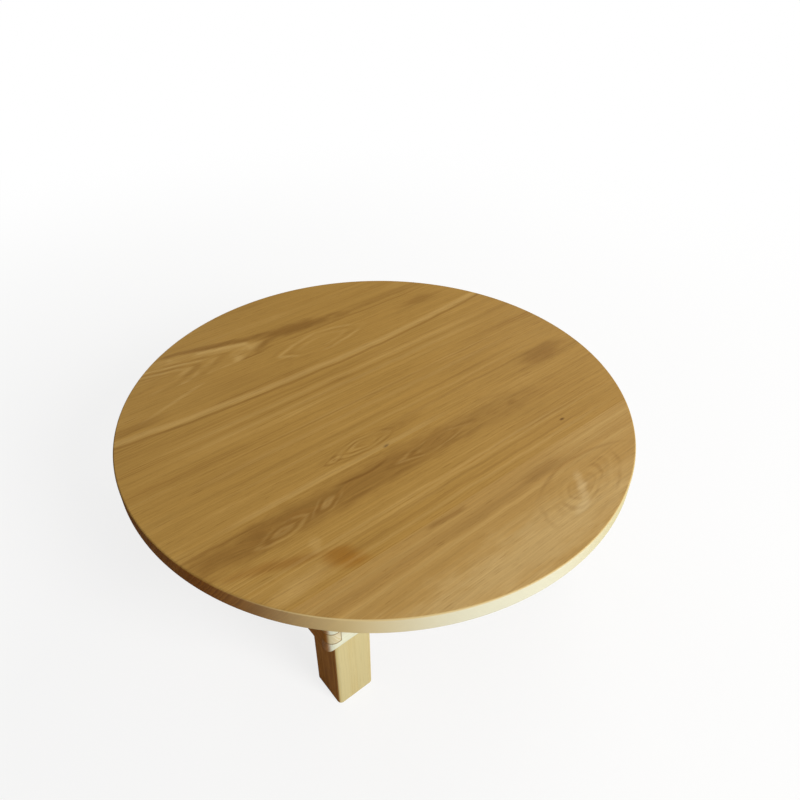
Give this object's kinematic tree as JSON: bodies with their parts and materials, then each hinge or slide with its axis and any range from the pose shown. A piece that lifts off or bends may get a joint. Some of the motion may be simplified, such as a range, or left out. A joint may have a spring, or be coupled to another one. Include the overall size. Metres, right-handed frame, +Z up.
{
  "type": "chabudai folding low table",
  "caption": "Round low wooden table on square legs whose pairs fold flat inside a box-jointed apron frame, each pair propped by a hinged wooden stay.",
  "frame": {"origin": "on the floor under the middle of the round top", "axes": "+Z up, +X along the grain of the top and the long aprons, +Y across the grain; each leg pair folds towards X = 0"},
  "size_m": [0.9, 0.8999, 0.31],
  "materials": {
    "top_boards": "satin oiled ash, brown heartwood with cathedral figure",
    "aprons": "satin pale ash",
    "legs": "satin ash",
    "rails": "satin ash",
    "stays": "satin ash",
    "battens": "satin ash",
    "buttons": "planed ash, unfinished",
    "pegs": "turned hardwood, end grain",
    "screws": "satin"
  },
  "bodies": {
    "table": {"top_board_1": "top_boards", "top_board_2": "top_boards", "top_board_3": "top_boards", "top_board_4": "top_boards", "top_board_5": "top_boards", "apron_front": "aprons", "apron_rear": "aprons", "apron_left": "aprons", "apron_right": "aprons", "batten_left": "battens", "batten_right": "battens", "button_left_1": "buttons", "button_left_2": "buttons", "button_left_3": "buttons", "button_right_1": "buttons", "button_right_2": "buttons", "button_right_3": "buttons", "batten_screws": "screws", "button_screws": "screws", "apron_screws": "screws", "pivot_peg_front_left": "pegs", "pivot_peg_front_right": "pegs", "pivot_peg_rear_left": "pegs", "pivot_peg_rear_right": "pegs"},
    "leg_pair_left": {"leg_front_left": "legs", "leg_rear_left": "legs", "leg_rail_left": "rails", "rail_pins_left": "pegs", "stay_dowel_left": "pegs"},
    "leg_pair_right": {"leg_front_right": "legs", "leg_rear_right": "legs", "leg_rail_right": "rails", "rail_pins_right": "pegs", "stay_dowel_right": "pegs"},
    "stay_left": {"stay_left": "stays"},
    "stay_right": {"stay_right": "stays"}
  },
  "joints": [
    {"name": "leg_fold_left", "type": "hinge", "parent": "table", "child": "leg_pair_left", "pos_m": [-0.2587, 0, 0.246], "axis": [0, -1, 0], "range_deg": [0, 90]},
    {"name": "leg_fold_right", "type": "hinge", "parent": "table", "child": "leg_pair_right", "pos_m": [0.2587, 0, 0.246], "axis": [0, 1, 0], "range_deg": [0, 90]},
    {"name": "stay_swing_left", "type": "hinge", "parent": "leg_pair_left", "child": "stay_left", "pos_m": [-0.2687, 0, 0.205], "axis": [0, 1, 0], "range_deg": [0, 115.4]},
    {"name": "stay_swing_right", "type": "hinge", "parent": "leg_pair_right", "child": "stay_right", "pos_m": [0.2687, 0, 0.205], "axis": [0, -1, 0], "range_deg": [0, 115.4]}
  ],
  "couplings": [
    {"joint": "stay_swing_left", "follows": "leg_fold_left", "ratio": 1.2785},
    {"joint": "stay_swing_right", "follows": "leg_fold_right", "ratio": 1.2785}
  ]
}
